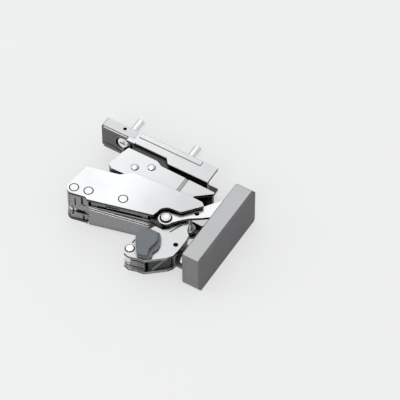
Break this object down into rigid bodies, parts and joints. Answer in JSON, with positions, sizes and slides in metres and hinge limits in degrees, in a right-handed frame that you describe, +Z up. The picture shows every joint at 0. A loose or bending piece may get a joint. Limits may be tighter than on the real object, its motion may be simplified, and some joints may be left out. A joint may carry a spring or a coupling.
{
  "type": "concealed hinge",
  "caption": "Concealed folding-lever cabinet hinge for a thin bonded door, with a screw-on mounting plate, folding sheet levers, damper group and soft-close switch.",
  "frame": {"origin": "on the side panel's face, midway between the two fixing screws", "axes": "+X towards the door, +Y into the side panel, +Z up along the hinge pins, drawn with the door closed"},
  "size_m": [0.0858, 0.077, 0.022],
  "materials": {
    "nickel_sheet": "nickel plated, satin",
    "steel_pin": "nickel plated, bright",
    "zinc_cast": "nickel plated zinc, satin",
    "spring_steel": "plain",
    "dark_plastic": "satin",
    "switch_plastic": "satin",
    "door_plate_metal": "satin",
    "pad": "foam"
  },
  "bodies": {
    "cabinet_side": {"mounting_plate": "zinc_cast", "fixing_screws": "steel_pin", "hinge_arm": "nickel_sheet", "carrier_block": "zinc_cast", "pivot_carrier": "nickel_sheet", "carrier_rivets": "steel_pin", "swing_rivets": "steel_pin", "swing_washers": "spring_steel", "latch_pin": "steel_pin"},
    "outer_lever_group": {"outer_lever": "nickel_sheet", "rear_pin": "steel_pin", "rear_sleeve": "steel_pin", "guide_pin": "steel_pin", "shoe_rivets": "steel_pin", "spring_shoes": "dark_plastic", "closing_springs": "spring_steel"},
    "inner_lever_group": {"inner_lever": "nickel_sheet", "lever_rail": "nickel_sheet"},
    "guide_link_group": {"guide_link": "nickel_sheet", "link_end_pin": "steel_pin"},
    "door_side": {"ear_bracket": "nickel_sheet", "door_pin": "steel_pin", "door_washers": "spring_steel", "door_bracket": "nickel_sheet", "damper_rivet": "steel_pin", "damper_housing": "dark_plastic", "damper_block": "zinc_cast", "door_screws": "steel_pin", "door_plate": "door_plate_metal", "adhesive_pad": "pad"},
    "damper_lever_group": {"damper_lever": "zinc_cast"},
    "piston_group": {"damper_piston": "dark_plastic"},
    "switch_group": {"soft_close_switch": "switch_plastic"},
    "latch_group": {"release_latch": "zinc_cast"},
    "side_screw_group": {"side_screw": "steel_pin"},
    "depth_cam_group": {"depth_cam": "steel_pin"}
  },
  "joints": [
    {"name": "lever_swing", "type": "hinge", "parent": "cabinet_side", "child": "outer_lever_group", "pos_m": [0.03, -0.0275, 0], "axis": [0, 0, 1], "range_deg": [0, 160]},
    {"name": "inner_swing", "type": "hinge", "parent": "outer_lever_group", "child": "inner_lever_group", "pos_m": [-0.01753, -0.04668, 0], "axis": [0, 0, 1], "range_deg": [-134.5, 0]},
    {"name": "door_swing", "type": "hinge", "parent": "inner_lever_group", "child": "door_side", "pos_m": [0.02838, -0.0385, 0], "axis": [0, 0, 1], "range_deg": [0, 78.5]},
    {"name": "link_swing", "type": "hinge", "parent": "outer_lever_group", "child": "guide_link_group", "pos_m": [-0.01055, -0.04488, 0], "axis": [0, 0, 1], "range_deg": [-134.5, 0]},
    {"name": "damper_swing", "type": "hinge", "parent": "door_side", "child": "damper_lever_group", "pos_m": [0.02248, -0.0612, 0], "axis": [0, 0, 1], "range_deg": [0, 16.1]},
    {"name": "piston_stroke", "type": "slide", "parent": "door_side", "child": "piston_group", "axis": [-1, 0, 0], "range_m": [0, 0.0022]},
    {"name": "switch_turn", "type": "hinge", "parent": "door_side", "child": "switch_group", "pos_m": [0.02978, -0.0591, 0], "axis": [0, 0, 1], "range_deg": [-12, 0]},
    {"name": "latch_press", "type": "hinge", "parent": "cabinet_side", "child": "latch_group", "pos_m": [-0.011, -0.0072, 0], "axis": [0, 0, 1], "range_deg": [0, 15], "stiffness_Nm_per_rad": 0.05},
    {"name": "side_screw_turn", "type": "hinge", "parent": "cabinet_side", "child": "side_screw_group", "pos_m": [0.017, -0.0105, 0], "axis": [0, 1, 0], "range_deg": [-360, 360]},
    {"name": "depth_cam_turn", "type": "hinge", "parent": "cabinet_side", "child": "depth_cam_group", "pos_m": [-0.0046, -0.0077, 0], "axis": [0, 1, 0], "range_deg": [-90, 90]}
  ],
  "couplings": [
    {"joint": "inner_swing", "follows": "lever_swing", "ratio": -0.84},
    {"joint": "door_swing", "follows": "lever_swing", "ratio": 0.49},
    {"joint": "link_swing", "follows": "lever_swing", "ratio": -0.83},
    {"joint": "damper_swing", "follows": "lever_swing", "ratio": 0.1},
    {"joint": "piston_stroke", "follows": "lever_swing", "m_per_rad": 0.00068}
  ]
}
